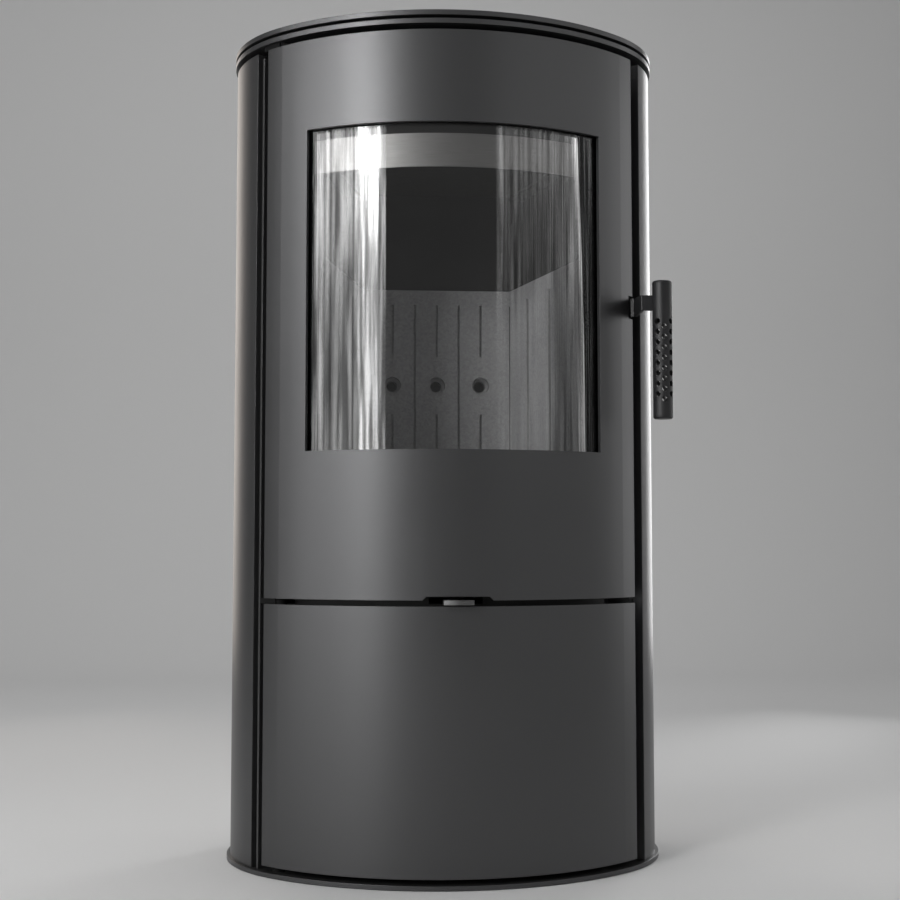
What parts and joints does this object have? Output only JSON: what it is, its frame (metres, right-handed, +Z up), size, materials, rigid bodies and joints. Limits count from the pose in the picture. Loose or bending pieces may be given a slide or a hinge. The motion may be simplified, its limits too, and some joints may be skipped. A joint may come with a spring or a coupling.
{
  "type": "steel wood stove",
  "caption": "Tall curved-front steel wood stove with a glazed fire door, side bar handle, sliding air lever and a log store behind a plain lower door.",
  "frame": {"origin": "on the floor, under the middle of the stove's width and the centres of its side arcs", "axes": "+X to the right seen from the front, +Y to the back, +Z up"},
  "size_m": [0.504, 0.3804, 0.96],
  "materials": {
    "stove_paint": "satin",
    "hinge_primer": "matte",
    "bare_steel": "satin",
    "firebox_steel": "matte",
    "grate_iron": "matte",
    "firebrick": "matte",
    "window_glass": "gloss",
    "rope_seal": "matte",
    "handle_paint": "satin",
    "bright_fasteners": "satin"
  },
  "bodies": {
    "stove_body": {"base_plate": "stove_paint", "left_post": "stove_paint", "right_post": "stove_paint", "left_side_panel": "stove_paint", "right_side_panel": "stove_paint", "rear_panel": "stove_paint", "under_top_plate": "stove_paint", "top_plate": "stove_paint", "flue_collar": "stove_paint", "upper_spacers": "stove_paint", "lower_spacers": "stove_paint", "magnet_catch": "stove_paint", "store_liner": "stove_paint", "top_hinge_plate": "hinge_primer", "middle_hinge_plate": "hinge_primer", "upper_hinge_pin": "hinge_primer", "middle_hinge_pin": "hinge_primer", "lower_hinge_pin": "hinge_primer", "air_wash_deflector": "bare_steel", "air_box": "firebox_steel", "ash_floor": "firebox_steel", "firebox_shell": "firebox_steel", "firebox_floor": "firebox_steel", "front_frame": "firebox_steel", "rear_air_duct": "firebox_steel", "firebox_top": "firebox_steel", "baffle_rails": "firebox_steel", "grate": "grate_iron", "rear_lining": "firebrick", "left_lining": "firebrick", "right_lining": "firebrick", "front_floor_brick": "firebrick", "rear_floor_brick": "firebrick", "side_floor_bricks": "firebrick", "baffle_brick": "firebrick", "rear_panel_screws": "bright_fasteners", "flue_collar_screws": "bright_fasteners", "top_plate_bolts": "bright_fasteners"},
    "fire_door": {"door_panel": "stove_paint", "door_inner_frame": "stove_paint", "door_gasket": "rope_seal", "glass_gasket": "rope_seal", "door_glass": "window_glass", "glass_clips": "bright_fasteners", "glass_clip_studs": "bright_fasteners", "door_hinge_lugs": "hinge_primer", "latch_bracket": "handle_paint", "handle_pivot_pin": "bright_fasteners"},
    "door_handle": {"handle_arm": "handle_paint", "latch_cam": "handle_paint", "handle_grip": "handle_paint", "grip_end_caps": "handle_paint"},
    "store_door": {"lower_door_panel": "stove_paint", "lower_door_stiffeners": "stove_paint", "lower_door_lugs": "hinge_primer"},
    "air_control": {"air_lever": "bare_steel", "air_valve_plate": "firebox_steel"},
    "ash_drawer": {"ash_pan": "firebox_steel"}
  },
  "joints": [
    {"name": "fire_door_hinge", "type": "hinge", "parent": "stove_body", "child": "fire_door", "pos_m": [-0.18877, -0.11338, 0.3], "axis": [0, 0, -1], "range_deg": [0, 110]},
    {"name": "handle_pivot", "type": "hinge", "parent": "fire_door", "child": "door_handle", "pos_m": [0.18877, -0.11338, 0.634], "axis": [0, 0, -1], "range_deg": [0, 20]},
    {"name": "store_door_hinge", "type": "hinge", "parent": "stove_body", "child": "store_door", "pos_m": [-0.18877, -0.11338, 0.3], "axis": [0, 0, -1], "range_deg": [0, 110]},
    {"name": "air_slide", "type": "slide", "parent": "stove_body", "child": "air_control", "axis": [1, 0, 0], "range_m": [-0.016, 0.016]},
    {"name": "ash_pan_slide", "type": "slide", "parent": "stove_body", "child": "ash_drawer", "axis": [0, -1, 0], "range_m": [0, 0.02]}
  ]
}
